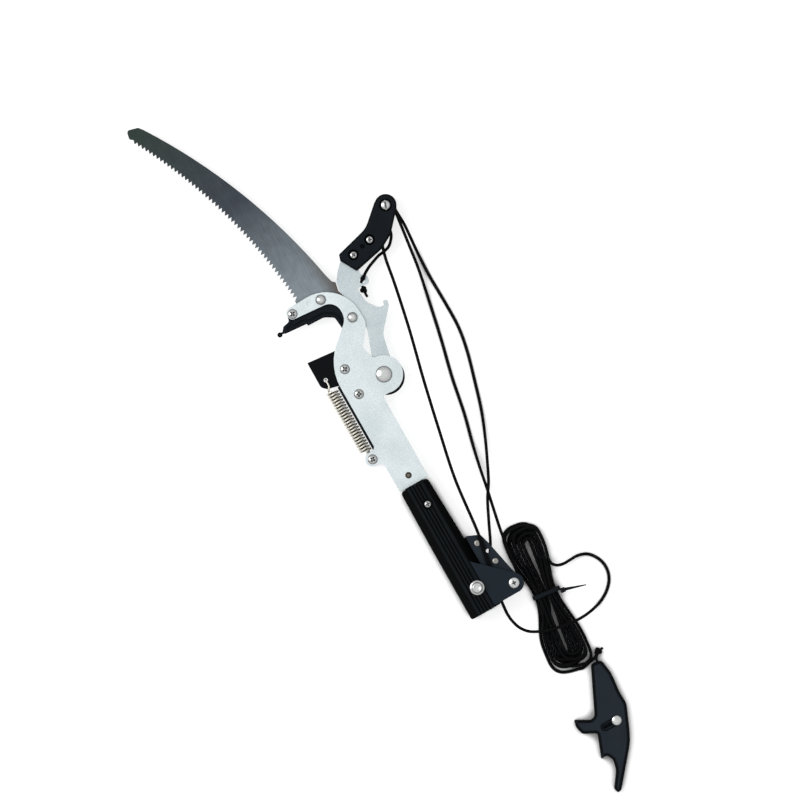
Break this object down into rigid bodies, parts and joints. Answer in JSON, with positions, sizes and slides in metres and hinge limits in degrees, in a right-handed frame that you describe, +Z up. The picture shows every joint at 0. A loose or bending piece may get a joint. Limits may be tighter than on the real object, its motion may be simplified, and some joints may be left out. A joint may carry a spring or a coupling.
{
  "type": "tree_pruner_head",
  "caption": "Rope-operated tree pruner head with a pole socket, hooked bypass cutter, curved saw blade, tackle rope in a tied hank and a pull handle.",
  "frame": {"origin": "middle of the pole socket's mouth, on the axis of its bore", "axes": "+Y up the tool from the socket to the saw, +X to the side of the pulley arm, +Z up from the surface that the tool lies on"},
  "size_m": [0.2044, 0.8184, 0.0378],
  "materials": {
    "plate_steel": "sandblasted bright steel",
    "saw_steel": "ground saw steel, brushed",
    "fastener_steel": "bright nickel plate",
    "spring_steel": "bright drawn wire",
    "bush_brass": "plain turned",
    "blade_black": "black non-stick coating",
    "nylon_black": "moulded, fine grain",
    "rope_black": "braided polyester cord"
  },
  "bodies": {
    "frame": {"pole_socket": "nylon_black", "clamp_bolt": "fastener_steel", "clamp_insert": "bush_brass", "socket_screw": "fastener_steel", "socket_nut": "fastener_steel", "guide_plate": "nylon_black", "guide_rivets": "fastener_steel", "guide_collars": "fastener_steel", "lower_axle": "fastener_steel", "core_tang": "nylon_black", "front_plate": "plate_steel", "back_plate": "plate_steel", "shank_rivet": "fastener_steel", "frame_screws": "fastener_steel", "frame_nuts": "fastener_steel", "hook_cap_nut": "fastener_steel", "saw_blade": "saw_steel", "saw_bolts": "fastener_steel", "saw_cap_nuts": "fastener_steel", "hook_liner": "nylon_black", "hook_spacers": "fastener_steel", "pivot_bolt": "fastener_steel", "pivot_washer": "fastener_steel", "pivot_cap_nut": "fastener_steel", "pivot_shim": "bush_brass", "return_spring": "spring_steel", "pull_rope": "rope_black", "rope_lead": "rope_black", "rope_hank": "rope_black", "hank_tie": "nylon_black", "handle_cord": "rope_black", "handle_knot": "rope_black", "pull_handle": "nylon_black"},
    "cutter": {"pivot_bush": "bush_brass", "cutter_blade": "blade_black", "lever": "plate_steel", "lever_rivets": "fastener_steel", "arm_front": "nylon_black", "arm_back": "nylon_black", "arm_screws": "fastener_steel", "arm_nuts": "fastener_steel", "upper_axle": "fastener_steel", "upper_axle_nut": "fastener_steel", "lever_knot": "rope_black"},
    "upper_wheel": {"upper_sheave": "nylon_black"},
    "lower_wheel": {"lower_sheave": "nylon_black"},
    "pin": {"handle_pin": "fastener_steel"}
  },
  "joints": [
    {"name": "cut_pivot", "type": "hinge", "parent": "frame", "child": "cutter", "pos_m": [0.028, 0.257, 0], "axis": [0, 0, -1], "range_deg": [0, 38], "stiffness_Nm_per_rad": 1.5, "springref_deg": -17.19, "deforming": ["return_spring", "pull_rope"]},
    {"name": "upper_sheave_spin", "type": "hinge", "parent": "cutter", "child": "upper_wheel", "pos_m": [0.113, 0.4033, 0.0018], "axis": [0, 0, 1], "continuous": true},
    {"name": "lower_sheave_spin", "type": "hinge", "parent": "frame", "child": "lower_wheel", "pos_m": [0.0382, 0.0115, 0.0011], "axis": [0, 0, 1], "continuous": true},
    {"name": "handle_pin_slide", "type": "slide", "parent": "frame", "child": "pin", "axis": [-1, 0, 0], "range_m": [0, 0.0135]}
  ]
}
